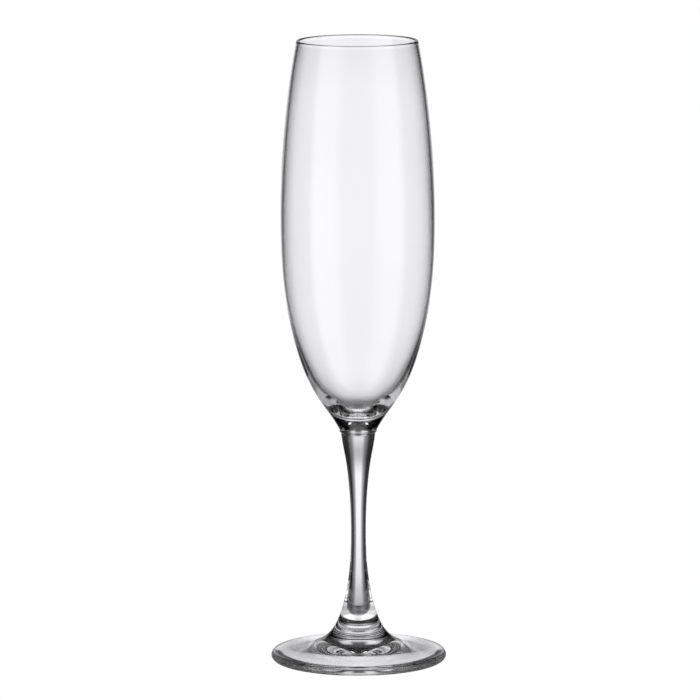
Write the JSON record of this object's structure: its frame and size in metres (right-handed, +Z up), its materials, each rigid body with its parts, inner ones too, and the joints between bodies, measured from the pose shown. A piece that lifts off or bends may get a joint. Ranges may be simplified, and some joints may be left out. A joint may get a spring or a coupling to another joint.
{
  "type": "champagne flute",
  "caption": "Tall stemmed drinking glass: a slim tulip bowl on a solid tapered base, a slender drawn stem and a round sloping foot.",
  "frame": {"origin": "centre of the plane that the foot stands on", "axes": "+Z runs up the axis of symmetry from the foot to the rim; X and Y lie in the standing plane"},
  "size_m": [0.0676, 0.0676, 0.24],
  "materials": {
    "clear_glass": "fire-polished, clear and colourless"
  },
  "bodies": {
    "root": {"bowl": "clear_glass", "stem": "clear_glass", "foot": "clear_glass"}
  },
  "joints": []
}
